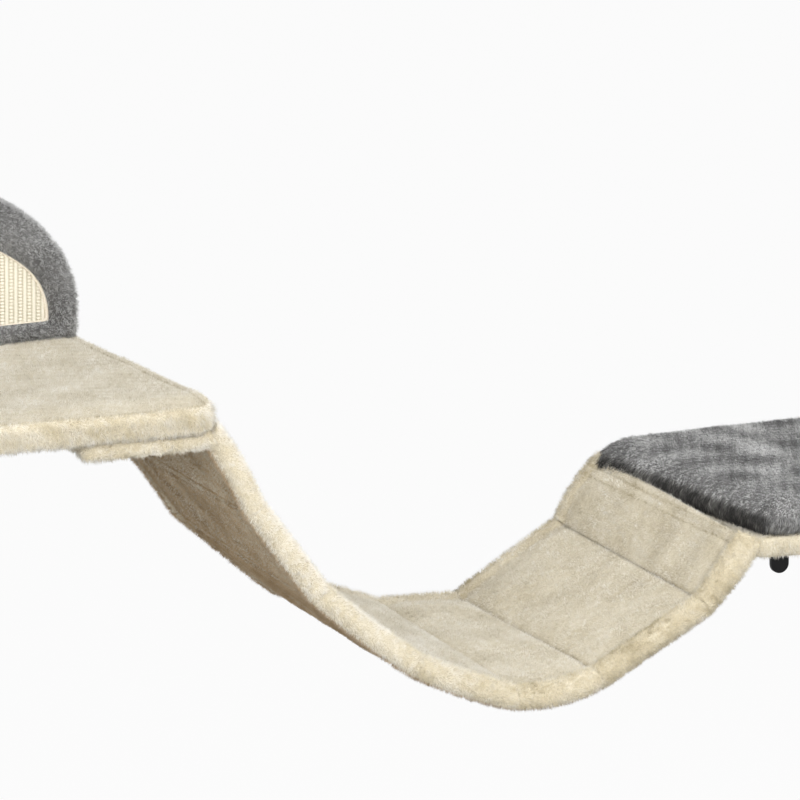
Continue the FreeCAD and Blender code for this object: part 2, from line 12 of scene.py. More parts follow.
import bmesh
import bpy
import numpy as np
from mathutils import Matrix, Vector


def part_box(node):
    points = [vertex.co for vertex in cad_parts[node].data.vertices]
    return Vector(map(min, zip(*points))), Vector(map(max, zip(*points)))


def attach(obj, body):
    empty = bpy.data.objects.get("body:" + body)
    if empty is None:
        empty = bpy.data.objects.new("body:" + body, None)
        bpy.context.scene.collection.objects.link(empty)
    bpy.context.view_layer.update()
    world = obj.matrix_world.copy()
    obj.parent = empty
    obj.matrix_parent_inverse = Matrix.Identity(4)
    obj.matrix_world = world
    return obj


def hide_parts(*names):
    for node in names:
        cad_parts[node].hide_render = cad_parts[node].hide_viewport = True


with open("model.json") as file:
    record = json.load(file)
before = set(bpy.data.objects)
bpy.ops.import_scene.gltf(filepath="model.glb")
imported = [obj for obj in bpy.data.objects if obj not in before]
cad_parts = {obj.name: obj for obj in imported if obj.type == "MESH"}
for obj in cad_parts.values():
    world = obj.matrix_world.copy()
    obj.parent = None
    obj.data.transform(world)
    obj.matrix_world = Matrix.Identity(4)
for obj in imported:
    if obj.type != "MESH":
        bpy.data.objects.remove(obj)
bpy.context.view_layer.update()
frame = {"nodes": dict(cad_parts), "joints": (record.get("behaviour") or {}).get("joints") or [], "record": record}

# %% [markdown]
# Everything below is worked out in millimetres, the unit on a maker's drawing, and
# turned to metres only when a mesh is made. Colours are written as the sRGB hex
# values that a paint chart shows, and one function turns them to the linear numbers
# that the renderer works with.

# %% Units, colours and nodes
MM = 0.001


def per_metre(size):
    """How often a pattern repeats in a metre, from its size in mm: a texture's scale."""
    return 1000.0 / size


def linear(hex_value):
    parts = [int(hex_value[i:i + 2], 16) / 255 for i in (1, 3, 5)]
    return tuple(p / 12.92 if p <= 0.04045 else ((p + 0.055) / 1.055) ** 2.4 for p in parts) + (1.0,)


def add(tree, kind, inputs=None, **settings):
    """Adds a node. A value in inputs is a number, a colour, or another node's output to link."""
    made = tree.nodes.new("ShaderNode" + kind)
    for key, value in settings.items():
        setattr(made, key, value)
    for key, value in (inputs or {}).items():
        if isinstance(value, bpy.types.NodeSocket):
            tree.links.new(value, made.inputs[key])
        else:
            made.inputs[key].default_value = value
    return made


def ramp(tree, fac, stops):
    """Colours along a value, each stop a place from 0 to 1 and a hex colour."""
    made = add(tree, "ValToRGB", {"Fac": fac})
    band = made.color_ramp
    while len(band.elements) < len(stops):
        band.elements.new(0.5)
    for element, (place, colour) in zip(band.elements, stops):
        element.position = place
        element.color = linear(colour)
    return made.outputs["Color"]


def new_material(name):
    material = bpy.data.materials.new(name)
    material.use_nodes = True
    tree = material.node_tree
    tree.nodes.clear()
    return material, tree


def finish_material(tree, inputs):
    shader = add(tree, "BsdfPrincipled", inputs)
    add(tree, "OutputMaterial", {"Surface": shader.outputs["BSDF"]})


# %% [markdown]
# ## Soft surfaces
# A sewn cover is a closed skin with few hard edges. A sculpted mesh or a simulated
# cloth could give that, but a cover pulled over a board follows the board, so each
# skin here is a stack of rings, one after another round the form, joined with quads:
# the same way that a paper pattern is graded from section to section.

# %% Skins from rings
MERGE = 0.00005  # points of a skin nearer than this, in metres, are one


def put(name, data):
    """A new object in the scene, from a mesh, a camera or a lamp."""
    made = bpy.data.objects.new(name, data)
    bpy.context.scene.collection.objects.link(made)
    return made


def ladder(base, around, order):
    """Faces that close one end: each rung joins two points that face each other across the ring."""
    faces = []
    for k in range(around // 2):
        near, far = base + k, base + around - 1 - k
        if k + 1 < around - 2 - k:
            faces.append((near, far, far - 1, near + 1)[::order])
        elif k + 1 == around - 2 - k:
            faces.append((near, far, near + 1)[::order])
    return faces


def skin(name, rings, material, closed=False, smooth=True):
    """A mesh of quads through rings of points in mm, its two open ends closed, its faces outward."""
    rings = np.asarray(rings, float)
    count, around = rings.shape[:2]
    faces = []
    for i in range(count if closed else count - 1):
        j = (i + 1) % count
        for k in range(around):
            m = (k + 1) % around
            faces.append((i * around + k, i * around + m, j * around + m, j * around + k))
    if not closed:
        faces += ladder(0, around, 1) + ladder((count - 1) * around, around, -1)
    mesh = bpy.data.meshes.new(name)
    mesh.from_pydata((rings.reshape(-1, 3) * MM).tolist(), [], faces)
    mesh.materials.append(material)
    mesh.update()
    if smooth:
        mesh.shade_smooth()
    work = bmesh.new()
    work.from_mesh(mesh)
    bmesh.ops.remove_doubles(work, verts=work.verts, dist=MERGE)
    bmesh.ops.recalc_face_normals(work, faces=work.faces)
    work.to_mesh(mesh)
    work.free()
    mesh.update()
    return put(name, mesh)


def rounded_ring(width, depth, corner, centre, z, side=26, bend=9):
    """A rounded rectangle as points, counted round from its front left corner."""
    corner = max(min(corner, width / 2 - 0.05, depth / 2 - 0.05), 0.3)
    points = []
    corners = ((1, -1, -90), (1, 1, 0), (-1, 1, 90), (-1, -1, 180))
    for n, (sx, sy, start) in enumerate(corners):
        mx, my = sx * (width / 2 - corner), sy * (depth / 2 - corner)
        for i in range(bend):
            turn = math.radians(start + 90 * i / (bend - 1))
            points.append((mx + corner * math.cos(turn), my + corner * math.sin(turn)))
        after = corners[(n + 1) % 4]
        ex, ey = after[0] * (width / 2 - corner), after[1] * (depth / 2 - corner)
        turn = math.radians(start + 90)
        a = (mx + corner * math.cos(turn), my + corner * math.sin(turn))
        b = (ex + corner * math.cos(turn), ey + corner * math.sin(turn))
        for i in range(1, side):
            t = i / side
            points.append((a[0] + (b[0] - a[0]) * t, a[1] + (b[1] - a[1]) * t))
    return np.array([(x + centre[0], y + centre[1], z) for x, y in points])


# %% Smooth fields and steps
def waves(seed, shortest, longest, count=9):
    """A smooth random field: a sum of sine waves, with wavelengths in mm. The seed fixes it."""
    chance = np.random.default_rng(seed)
    direction = chance.normal(size=(count, 3))
    direction /= np.linalg.norm(direction, axis=1)[:, None]
    pitch = 2 * np.pi / chance.uniform(shortest, longest, count)
    phase = chance.uniform(0, 2 * np.pi, count)
    turn = direction * pitch[:, None]
    return lambda points: np.sin(points @ turn.T + phase).sum(axis=1) / math.sqrt(count / 2)


def ease(t):
    """A smooth step: 0 up to 0, 1 from 1 on."""
    t = np.clip(t, 0, 1)
    return t * t * (3 - 2 * t)


def bell(distance, width):
    """1 at no distance, and next to nothing at twice the width."""
    return np.exp(-(distance / width) ** 2)


# %% [markdown]
# ## Pile
# Plush is a knitted ground with thousands of short fibres standing in it. Blender's
# hair could draw them, but hair is lost when a model is exported, so they are a mesh.
# One real fibre is thinner than a pixel, so each strand here stands for a tuft of
# them: a thin tapered spike of three faces. Strands lean the way the cloth was
# brushed, gather where a slow random field sends them, and take one of a few dyed
# tones, so that the cloth looks mottled and its outline is soft.

# %% Where strands stand, and their way
FOOT_DEPTH = 0.6  # how far a strand's foot is sunk in its ground, in mm


def triangles(ground):
    """The corners in mm, and the normals there, of each triangle of a piece."""
    mesh = ground.data
    mesh.calc_loop_triangles()
    corners = np.empty(len(mesh.loop_triangles) * 3, np.int32)
    mesh.loop_triangles.foreach_get("vertices", corners)
    found = []
    for what in ("co", "normal"):
        values = np.empty(len(mesh.vertices) * 3)
        mesh.vertices.foreach_get(what, values)
        found.append(values.reshape(-1, 3)[corners.reshape(-1, 3)])
    return found[0] / MM, found[1]


def scatter(ground, area, chance):
    """Random roots on a piece, one for each area in mm2, and the way up from the ground there."""
    place, normal = triangles(ground)
    sizes = np.linalg.norm(np.cross(place[:, 1] - place[:, 0], place[:, 2] - place[:, 0]), axis=1) / 2
    count = int(sizes.sum() / area)
    pick = chance.choice(len(sizes), count, p=sizes / sizes.sum())
    share = chance.dirichlet((1, 1, 1), count)
    root = (place[pick] * share[:, :, None]).sum(axis=1)
    up = (normal[pick] * share[:, :, None]).sum(axis=1)
    up /= np.linalg.norm(up, axis=1)[:, None] + 1e-9
    return root, up


def worked_out(value, root, up):
    """A value for each strand, from a fixed value or from a function of roots and ups."""
    if callable(value):
        return np.asarray(value(root, up), float)
    return np.broadcast_to(np.asarray(value, float), (len(root),) + np.shape(value))


def strand_ways(root, up, lean, lie, gather, stray, tuft, seed, chance):
    """Directions: upright, laid over by the brush, drawn into tufts, and a little astray."""
    brushed = worked_out(lean, root, up)
    brushed = brushed - up * (brushed * up).sum(axis=1)[:, None]
    drift = np.stack([waves(seed * 7 + k, *tuft)(root) for k in range(3)], axis=1)
    flick = chance.normal(size=(len(root), 3))
    way = up + lie * brushed + gather * drift * 0.5 + stray * flick
    below = (way * up).sum(axis=1)
    way += up * np.clip(0.35 - below, 0, None)[:, None]
    return way / np.linalg.norm(way, axis=1)[:, None]


# %% The strands' mesh and tones
def strand_points(root, up, way, tall, thick, chance):
    """Four points for each strand: three round its foot, and its tip."""
    side = np.cross(way, chance.normal(size=(len(root), 3)))
    side /= np.linalg.norm(side, axis=1)[:, None] + 1e-9
    other = np.cross(way, side)
    half = (thick / 2) * chance.uniform(0.8, 1.25, len(root))[:, None]
    foot = root - up * FOOT_DEPTH
    ring = [foot + half * (side * math.cos(a) + other * math.sin(a)) for a in (0, 2.094, 4.189)]
    tip = root + way * tall[:, None]
    return np.stack(ring + [tip], axis=1).reshape(-1, 3)


def strand_slots(root, up, families, tone, family, contrast, tuft, seed, chance):
    """The material of each strand: a tone, by slow fields and chance, in one of the families."""
    shade = 0.13 * waves(seed + 50, 28, 90)(root) + 0.13 * waves(seed + 51, *tuft)(root)
    shade = 0.5 + contrast * (shade + chance.normal(0, 0.12, len(root)))
    shade += worked_out(tone, root, up)
    steps = len(families[0])
    slots = np.clip((shade * steps).astype(int), 0, steps - 1)
    if family is not None:
        which = np.floor(family(root, up) + chance.random(len(root)))
        slots += steps * np.clip(which, 0, len(families) - 1).astype(int)
    return slots


def strand_mesh(name, points, slots, materials):
    count = len(slots)
    faces = (np.arange(count)[:, None] * 4 + np.array([0, 1, 3, 1, 2, 3, 2, 0, 3])).ravel()
    mesh = bpy.data.meshes.new(name)
    mesh.vertices.add(len(points))
    mesh.vertices.foreach_set("co", (points * MM).ravel())
    mesh.loops.add(len(faces))
    mesh.loops.foreach_set("vertex_index", faces.astype(np.int32))
    mesh.polygons.add(count * 3)
    mesh.polygons.foreach_set("loop_start", np.arange(count * 3, dtype=np.int32) * 3)
    mesh.polygons.foreach_set("material_index", np.repeat(slots, 3).astype(np.int32))
    for material in materials:
        mesh.materials.append(material)
    mesh.update(calc_edges=True)
    mesh.shade_smooth()
    return mesh


# %% Grow the pile of one piece
def grow(name, ground, families, body, area, length, mask, seed, thick=0.55, lean=(0, 0, 0), lie=0.6,
         stray=0.3, gather=0.55, tuft=(7, 16), tone=0.0, contrast=1.0, family=None):
    """Strands on the ground piece: one for each area in mm2, length in mm.

    mask gives the share of the strands kept. lean is the brushed direction, lie how far
    the strands lie over, and tuft the least and greatest length in mm of the field that
    gathers them into tufts. tone shifts a strand's tone, and family says which list of
    tones it takes. length, mask, lean, tone and family may be functions of root and up.
    """
    chance = np.random.default_rng(seed)
    root, up = scatter(ground, area, chance)
    kept = chance.random(len(root)) < mask(root, up)
    root, up = root[kept], up[kept]
    tall = worked_out(length, root, up) * chance.uniform(0.72, 1.18, len(root))
    way = strand_ways(root, up, lean, lie, gather, stray, tuft, seed, chance)
    points = strand_points(root, up, way, tall, thick, chance)
    slots = strand_slots(root, up, families, tone, family, contrast, tuft, seed, chance)
    piece = put(name, strand_mesh(name, points, slots, sum(families, [])))
    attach(piece, body)
    print(name, len(root), "strands")


def clear_of_wall(root, up):
    """1 where a strand has room, and 0 on a piece's rear, at the wall."""
    return np.where((up[:, 1] > 0.5) | (root[:, 1] > -3), 0.0, 1.0)


# %% [markdown]
# ## Materials
# The covers are long pile plush, a knitted polyester: matt, with a soft glow at
# grazing angles where the fibre tips catch the light. Cream plush is used on the
# platforms and the bridge, grey plush on the backrest and the pad. The ground under
# the pile is darker than the tips, because light is lost between fibres. A texture
# could paint the tones on one material, but each strand has one dyed tone, so a
# short list of plain fibre materials is enough, and it survives the export.

# %% Plush
def plush_ground(name, dark, middle, light):
    """Knitted ground, mottled in patches of about 42 mm and tufts of about 3 mm."""
    material, tree = new_material(name)
    where = add(tree, "TexCoord").outputs["Object"]
    patch = add(tree, "TexNoise", {"Vector": where, "Scale": per_metre(41.67), "Detail": 3.0})
    tuft = add(tree, "TexNoise", {
        "Vector": where, "Scale": per_metre(3.03), "Detail": 4.0, "Roughness": 0.65,
    })
    both = add(tree, "Mix", {"Factor": 0.55, "A": patch.outputs["Fac"], "B": tuft.outputs["Fac"]},
               data_type="FLOAT")
    colour = ramp(tree, both.outputs["Result"], ((0.34, dark), (0.5, middle), (0.66, light)))
    bump = add(tree, "Bump", {"Strength": 0.7, "Distance": 2.2 * MM, "Height": tuft.outputs["Fac"]})
    finish_material(tree, {
        "Base Color": colour, "Roughness": 0.92, "Specular IOR Level": 0.25,
        "Sheen Weight": 0.2, "Sheen Roughness": 0.5, "Normal": bump.outputs["Normal"],
    })
    return material


def plush_fibre(name, colour, sheen):
    """One dyed tone of the fibre tips."""
    material, tree = new_material(name)
    finish_material(tree, {
        "Base Color": linear(colour), "Roughness": 0.85, "Specular IOR Level": 0.3,
        "Sheen Weight": sheen, "Sheen Roughness": 0.45,
    })
    return material


def fibres(name, tones, sheen=0.2):
    return [plush_fibre("%s %d" % (name, n), tone, sheen) for n, tone in enumerate(tones, 1)]


cream_ground = plush_ground("cream plush ground", "#ada187", "#c7bda5", "#dbd3c0")
grey_ground = plush_ground("grey plush ground", "#444342", "#5f5e5d", "#7b7a79")
# each list goes from a dark tone, painted shade down in a seam and between tufts, to that of the brightest tips
cream_nap = fibres("cream nap", ("#a99e83", "#d3ccbb", "#e0dacb", "#e9e4d8", "#f1eee5"))
cream_edge = fibres("cream edge fibre", ("#baae8f", "#dacfb3", "#e7dec7", "#f0e9d8", "#f7f2e6"))
# the darker, browner fibres are painted shade, for the undersides of the bridge panels
cream_under_shade = fibres("cream underside shade", ("#987d5e", "#aa906e", "#b89f7d", "#c5ad8b", "#d1bc9c"), 0.05)
grey_nap = fibres("grey nap", ("#666666", "#8b8b8a", "#a9a9a8", "#c3c3c2", "#dcdcdb"))
# the darker grey fibres are painted shade, on the pad's sides and the front of the backrest's roll
grey_shade_fibre = fibres("grey fibre in shade", ("#3a3938", "#545351", "#72716e", "#92918e", "#b2b1ae"), 0.1)

# %% [markdown]
# The mat is woven of sisal cord in upright ribs: dry, matt and flecked. Its ribs and
# beads are in its mesh, so the material has only the flecks and the cord's strands,
# which run at a slant, 2.4 mm apart.

# %% Sisal
BANDS = 2 * math.pi / 10  # a diagonal wave of scale 1 repeats after this length


def cord_weave(name, dark, middle, light):
    material, tree = new_material(name)
    where = add(tree, "TexCoord").outputs["Object"]
    fleck = add(tree, "TexNoise", {"Vector": where, "Scale": per_metre(1.429), "Detail": 3.0})
    strand = add(tree, "TexWave", {"Vector": where, "Scale": per_metre(2.417) * BANDS, "Distortion": 2.0},
                 bands_direction="DIAGONAL")
    both = add(tree, "Mix", {"Factor": 0.35, "A": fleck.outputs["Fac"], "B": strand.outputs["Fac"]},
               data_type="FLOAT")
    colour = ramp(tree, both.outputs["Result"], ((0.25, dark), (0.5, middle), (0.75, light)))
    bump = add(tree, "Bump", {"Strength": 0.5, "Distance": 0.6 * MM, "Height": both.outputs["Result"]})
    finish_material(tree, {"Base Color": colour, "Roughness": 0.8, "Normal": bump.outputs["Normal"]})
    return material


mat_cord = cord_weave("cream cord weave", "#d3cbb6", "#e7e0cf", "#f2ede1")
# the darker cord is painted shade, for the hollows between the ribs
mat_hollow_shade = cord_weave("cord in shade between the ribs", "#aea68f", "#c2baa4", "#d3ccb8")
mat_tape = cord_weave("mat edge tape", "#d9cdb9", "#e5dbc9", "#eee6d6")

# %% [markdown]
# Inside the covers are birch plywood, whose grain runs along the wall, hardboard
# pressed from 2 mm chips, and open cell foam.

# %% Boards and foam
def birch_plywood():
    material, tree = new_material("birch plywood")
    where = add(tree, "TexCoord").outputs["Object"]
    long, wide = per_metre(55.6), per_metre(2.78)  # the grain's length and width
    along = add(tree, "Mapping", {"Vector": where, "Scale": (long, wide, wide)})
    grain = add(tree, "TexNoise", {"Vector": along.outputs["Vector"], "Scale": 1.0, "Detail": 6.0})
    colour = ramp(tree, grain.outputs["Fac"], ((0.3, "#b8935f"), (0.55, "#d2b283"), (0.8, "#e2c99d")))
    finish_material(tree, {"Base Color": colour, "Roughness": 0.6})
    return material


def pressed_board():
    material, tree = new_material("hardboard")
    where = add(tree, "TexCoord").outputs["Object"]
    chips = add(tree, "TexNoise", {"Vector": where, "Scale": per_metre(2), "Detail": 3.0})
    colour = ramp(tree, chips.outputs["Fac"], ((0.3, "#5d452f"), (0.6, "#7a5d40"), (0.8, "#927453")))
    finish_material(tree, {"Base Color": colour, "Roughness": 0.55})
    return material


def open_cell_foam():
    material, tree = new_material("open cell foam")
    where = add(tree, "TexCoord").outputs["Object"]
    cells = add(tree, "TexVoronoi", {"Vector": where, "Scale": per_metre(1.667)})
    colour = ramp(tree, cells.outputs["Distance"], ((0.0, "#cfc6ad"), (0.5, "#ece5d2"), (1.0, "#f4efe0")))
    bump = add(tree, "Bump", {"Strength": 0.6, "Distance": 0.8 * MM, "Height": cells.outputs["Distance"]})
    finish_material(tree, {"Base Color": colour, "Roughness": 0.95, "Normal": bump.outputs["Normal"]})
    return material


# %% [markdown]
# The brackets are powder coated steel, with the fine orange peel that the powder
# leaves as it melts, in patches a little smoother or rougher. The screws are zinc
# plated, with the cloudy bloom of the bath.

# %% Metal
def powder_coat():
    material, tree = new_material("black powder coated steel")
    where = add(tree, "TexCoord").outputs["Object"]
    peel = add(tree, "TexNoise", {"Vector": where, "Scale": per_metre(1.111), "Detail": 2.0})
    rub = add(tree, "TexNoise", {"Vector": where, "Scale": per_metre(16.67), "Detail": 4.0})
    colour = ramp(tree, rub.outputs["Fac"], ((0.35, "#0b0b0b"), (0.6, "#121212"), (0.8, "#1b1b1a")))
    rough = add(tree, "MapRange", {"Value": rub.outputs["Fac"], "To Min": 0.38, "To Max": 0.55})
    bump = add(tree, "Bump", {"Strength": 0.25, "Distance": 0.3 * MM, "Height": peel.outputs["Fac"]})
    finish_material(tree, {
        "Base Color": colour, "Roughness": rough.outputs["Result"],
        "Specular IOR Level": 0.2, "Normal": bump.outputs["Normal"],
    })
    return material


def zinc_plate():
    material, tree = new_material("zinc plated steel")
    where = add(tree, "TexCoord").outputs["Object"]
    bloom = add(tree, "TexNoise", {"Vector": where, "Scale": per_metre(2.857), "Detail": 3.0})
    colour = ramp(tree, bloom.outputs["Fac"], ((0.3, "#9c9c98"), (0.7, "#c6c5c0")))
    rough = add(tree, "MapRange", {"Value": bloom.outputs["Fac"], "To Min": 0.28, "To Max": 0.45})
    finish_material(tree, {"Base Color": colour, "Metallic": 1.0, "Roughness": rough.outputs["Result"]})
    return material


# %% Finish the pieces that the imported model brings
by_slot = {
    "plywood": birch_plywood(), "hardboard": pressed_board(), "foam": open_cell_foam(),
    "black_steel": powder_coat(), "zinc_screws": zinc_plate(), "sisal": mat_cord,
    "cream_plush": cream_ground, "grey_plush": grey_ground,
}
slot_of = {part["node"]: part["material_slot"] for part in frame["record"]["subparts"]}
for name, node in frame["nodes"].items():
    node.data.materials.clear()
    node.data.materials.append(by_slot[slot_of[name]])
print(len(frame["nodes"]), "nodes finished")


def box_mm(node):
    low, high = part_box(node)
    return np.array(low) / MM, np.array(high) / MM


def dress(piece, body, slot, *nodes):
    """Lets a piece ride on its body and stand for CAD nodes. slot is not used."""
    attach(piece, body)
    if nodes:
        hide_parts(*nodes)
    print(piece.name, len(piece.data.polygons), "faces")


# %% [markdown]
# ## Platforms
# Each platform is a board with plush pulled tight round it. The top is flat, and the
# pile makes its front edge a soft roll. The cover is sewn a little inside that edge,
# where a thin line shows. A bevelled box would do for a hard shelf, but a roll that
# droops and a sewn line need sections, so each cover is rings of rounded rectangles.

# %% Platform covers
PLATFORM_CORNER = 27
REAR_GAP = 0.5     # between a cover and the wall
SEWN_INSET = 11    # where the sewn line lies on the top
SEWN_DEPTH = 1.2
# from the middle of the underside round to half height: how far in, how high
UNDERSIDE = [(146, 0.6), (120, 0.4), (90, 0.2), (60, 0), (36, 0), (20, 0), (11, 0.1), (5.5, 0.6),
             (2.2, 1.9), (0.6, 4.6), (0, 8.5)]


def platform(name, node, seed, right=0.0, top=0.0, droop=0.0):
    """The cover's skin. It stands past the solid by right and top, and its front droops, in mm."""
    low, high = box_mm(node)
    centre = (low + high) / 2
    width, depth, thick = high[0] - low[0], high[1] - low[1], round(high[2] - low[2])
    upper = [(inset, thick - z) for inset, z in reversed(UNDERSIDE)]
    upper = [(inset, z - SEWN_DEPTH if inset == SEWN_INSET else z) for inset, z in upper]
    rings = []
    for inset, height in UNDERSIDE + upper:
        corner = PLATFORM_CORNER - inset * 0.8
        rings.append(rounded_ring(width - 2 * inset, depth - 2 * inset, corner, centre, low[2] + height))
    rings = np.array(rings)
    flat = rings.reshape(-1, 3)
    faces = np.abs(flat[:, 2] - centre[2]) > (high[2] - low[2]) / 2 - 3
    flat[:, 2] += faces * 0.4 * waves(seed, 40, 120)(flat)
    flat[:, 0] += right * ease((flat[:, 0] - centre[0]) / (width / 2))
    flat[:, 2] += top * ease((flat[:, 2] - low[2]) / (high[2] - low[2]))
    to_right = 0.45 + 0.55 * ease((flat[:, 0] - low[0]) / width)
    front = ease((low[1] + 40 - flat[:, 1]) / 40) * to_right
    flat[:, 2] -= droop * front * np.where(flat[:, 2] < centre[2], 0.8, 1.0)
    flat[flat[:, 1] > -REAR_GAP, 1] = -REAR_GAP
    return skin(name, flat.reshape(rings.shape), cream_ground)


left_cover = platform("left_platform_cover", "left_cover", 19, right=4.0, top=2.5, droop=6.0)
dress(left_cover, "wall_fixed", "cream_plush", "left_cover")
right_cover = platform("right_platform_cover", "right_cover", 20)
dress(right_cover, "wall_fixed", "cream_plush", "right_cover")

# %% [markdown]
# ## Camera, floor and light
# The photograph was taken from far off with a long lens, about 26 degrees to the
# left of straight on and 13 degrees above. The object hangs in white space; the
# floor lies well below it and keeps its soft shadow. A camera could be aimed by its
# angles, but two directions in the picture, one across and one up, fix it as well
# and are read straight off the object's edges.

# %% Camera
VIEW_SIDE = Vector((0.8965, -0.4431, 0))
VIEW_UP = Vector((0.0989, 0.2002, 0.9748))
VIEW_TARGET = Vector((0.4431, -0.175, 0.0148))
VIEW_WIDTH = 0.8      # metres that the picture shows across, at the target
VIEW_DISTANCE = 36.0
SENSOR = 36


def aim(thing, direction, track):
    thing.rotation_mode = "QUATERNION"
    thing.rotation_quaternion = direction.to_track_quat(track, "Y")


back = VIEW_SIDE.cross(VIEW_UP).normalized()
lens = bpy.data.cameras.new("camera")
lens.sensor_width = SENSOR
lens.lens = SENSOR * VIEW_DISTANCE / VIEW_WIDTH
lens.clip_start, lens.clip_end = 5, 200
camera = put("camera", lens)
camera.location = VIEW_TARGET + back * VIEW_DISTANCE
aim(camera, back, "Z")
bpy.context.scene.camera = camera
bpy.context.scene.view_settings.view_transform = "Standard"
print("lens", round(lens.lens), "mm at", VIEW_DISTANCE, "m")

# %% Floor, world and lamps
FLOOR_HALF, FLOOR_Z = 60, -1.0


def seen_directly(tree):
    """1 for rays from the camera or off gloss, which show the backdrop white."""
    path = add(tree, "LightPath").outputs
    either = add(tree, "Math", {0: path["Is Camera Ray"], 1: path["Is Glossy Ray"]}, operation="MAXIMUM")
    return either.outputs[0]


def pale_floor():
    material, tree = new_material("pale floor")
    seen = seen_directly(tree)
    matt = add(tree, "BsdfDiffuse", {"Color": (0.42, 0.42, 0.42, 1)})
    white = add(tree, "Emission", {"Color": (1, 1, 1, 1), "Strength": 1.04})
    part = add(tree, "Math", {0: seen, 1: 0.9}, operation="MULTIPLY")
    mix = add(tree, "MixShader", {0: part.outputs[0], 1: matt.outputs[0], 2: white.outputs[0]})
    add(tree, "OutputMaterial", {"Surface": mix.outputs[0]})
    return material


def studio_world():
    world = bpy.data.worlds.new("studio")
    world.use_nodes = True
    tree = world.node_tree
    tree.nodes.clear()
    strength = add(tree, "MapRange", {"Value": seen_directly(tree), "To Min": 0.62, "To Max": 1.0})
    glow = add(tree, "Background", {"Color": (1, 1, 1, 1), "Strength": strength.outputs["Result"]})
    add(tree, "OutputWorld", {"Surface": glow.outputs[0]})
    return world


mesh = bpy.data.meshes.new("floor")
corners = ((-1, -1), (1, -1), (1, 1), (-1, 1))
mesh.from_pydata([(x * FLOOR_HALF, y * FLOOR_HALF, FLOOR_Z) for x, y in corners], [], [(0, 1, 2, 3)])
mesh.materials.append(pale_floor())
put("floor", mesh)
bpy.context.scene.world = studio_world()
for name, place, target, size, watts in (
    ("key", (1.9, -1.7, 2.3), (0.45, -0.15, -0.1), 1.6, 43),
    ("fill", (-2.0, -2.2, 1.5), (0.4, -0.15, -0.1), 2.0, 46),
    ("front", (0.0, -2.4, 0.1), (0.35, -0.15, -0.05), 1.4, 30),
):
    light = bpy.data.lights.new(name, "AREA")
    light.size, light.energy = size, watts
    lamp = put(name, light)
    lamp.location = place
    aim(lamp, Vector(target) - Vector(place), "-Z")
    print("lamp", name, watts, "W")

# %% [markdown]
# ## The bridge
# Seven stiff panels are sewn into one long cover. The pile closes over each seam, so
# only a thin line shows, and a border strip, sewn on along both edges, runs unbroken
# like a rope. One long mesh could be bent over the joints, but then the stiff panels
# would bend too, so each is a skin of its own. It is worked out from the two seams
# that bound it, so neighbours meet exactly, on the plane that halves the bend.

# %% Seams
SEAM_Y = -175.0
BRIDGE_WIDTH = 340.0
HALF_WIDTH = 168.0  # of the skin, without its pile
LAST = 7
hinge_at = {joint["name"]: np.array(joint["pos_m"]) / MM for joint in frame["joints"]}
open_seam = np.array([492.72, SEAM_Y, -250.62])  # the fifth seam is sewn too, but has no joint
left_seams = ("bridge_sway", "bridge_seam_1_2", "bridge_seam_2_3", "bridge_seam_3_4")
right_seams = ("bridge_seam_5_6", "bridge_seam_6_7", "bridge_right_seam")
seams = [hinge_at[name] for name in left_seams] + [open_seam]
seams = np.array(seams + [hinge_at[name] for name in right_seams])
# How much higher each seam lies at the wall, and how far its front and wall ends are
# lifted past the solids, in mm, as the real bridge is a little twisted
WALL_RISE = np.array([0, 12, 15, 15, 10, 4, 0, 0], float)
FRONT_LIFT = np.array([0, 5, 2, 2, -8, -6, -7, -3], float)
WALL_LIFT = np.array([6, 14, 14, 8, 6, 0, 8, 15], float)
# The last seam's front end goes into the hollow beside the platform's round corner
HOLLOW_SHIFT, HOLLOW_REACH = 11, 8


def seam_line(number, y):
    """Points of a seam at distances y from its middle."""
    y = np.asarray(y, float)
    point = np.repeat(seams[number][None], len(y), axis=0)
    t = y / (2 * HALF_WIDTH) + 0.5
    if number == LAST:
        point[:, 0] += HOLLOW_SHIFT * bell(y + HALF_WIDTH, HOLLOW_REACH)
    point[:, 1] = SEAM_Y + y
    lift = FRONT_LIFT[number] * (1 - t) + WALL_LIFT[number] * t
    point[:, 2] += WALL_RISE[number] * y / BRIDGE_WIDTH + lift
    return point


def across(direction):
    """The direction that stands on a panel, from the direction along it."""
    return np.stack([-direction[:, 2], np.zeros(len(direction)), direction[:, 0]], axis=1)


def unit(v):
    return v / np.linalg.norm(v, axis=-1, keepdims=True)


print("seams at x", seams[:, 0].round(1), "z", seams[:, 2].round(1))

# %% Panel sections
ROLL, ROLL_REACH = 12.5, 13.0  # the border strip's half thickness, and how far in it swells
FIELD_SINK, FIELD_PLUMP = 3.0, 1.8  # how much thinner the panel is beside the strip, and its swell
TOP_STITCH = 11.0  # the last panel has one more sewn line, this far from the platform
BOARD_HALF, BOARD_INSET, BOARD_END = 2.5, 28, 13
EDGE_INSETS = [0, 0.5, 1.6, 3.4, 5.8, 8.8, 12, 15.5, 19, 22, 25, 29, 34, 42, 52, 64]
FIRST_STEPS = [0.5, 1.5, 3, 4.5, 6.5, 9, 12, 16, 21, 27]
LAST_STEPS = np.array([27, 21, 17, 14.5, 12.5, 11, 9.5, 7.5, 6, 4.5, 3, 1.5, 0.5])
TURN_REACH = 34.0  # further than this from a seam, sections stand square on the panel
inset = np.concatenate([EDGE_INSETS, np.linspace(76, 2 * HALF_WIDTH - 76, 18),
                        2 * HALF_WIDTH - np.array(EDGE_INSETS[::-1])])
from_edge = np.minimum(inset, 2 * HALF_WIDTH - inset)
# each panel's swell between its seams, in mm, at the wall and at the front; panel 0 is none
WALL_PUFF = np.array([0, 8, 4, 0, 0, 0, 0, 4], float)
FRONT_PUFF = np.array([0, 2, 0, -2, -3, -6, 0, -2], float)


